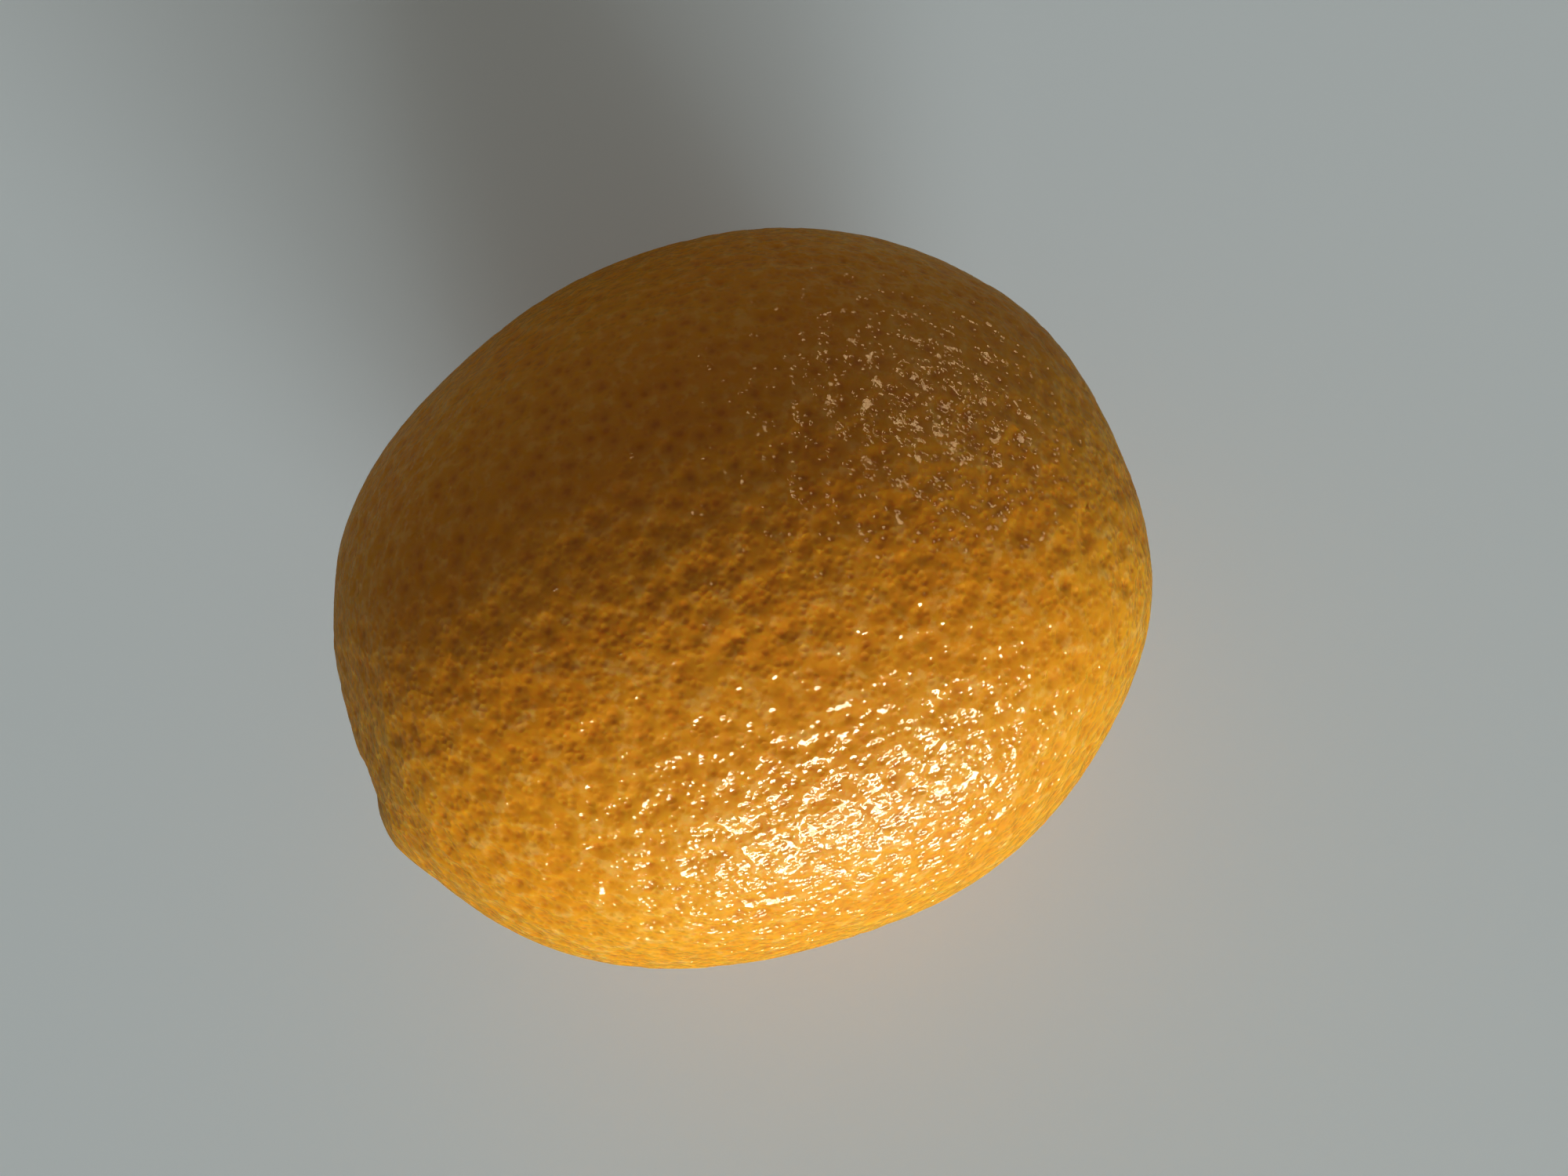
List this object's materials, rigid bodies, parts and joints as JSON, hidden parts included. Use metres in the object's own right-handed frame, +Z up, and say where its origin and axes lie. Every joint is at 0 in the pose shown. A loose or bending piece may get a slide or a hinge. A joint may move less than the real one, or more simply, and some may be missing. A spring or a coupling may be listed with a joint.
{
  "type": "orange",
  "caption": "Whole orange lying on its side, with pitted peel, blunt ends and a small dry calyx button in a dimple at its stem end.",
  "frame": {"origin": "middle of the footprint at the surface that the fruit rests on", "axes": "+Z up; the core runs nearly level, from the blossom end at +X to the stem end at -X, turned a little towards -Y"},
  "size_m": [0.0768, 0.0712, 0.0691],
  "materials": {
    "peel": "waxy half-gloss orange rind with fine pits",
    "calyx": "dry matt brown-green plant fibre"
  },
  "bodies": {
    "root": {"orange": "peel", "stem_button": "calyx"}
  },
  "joints": []
}
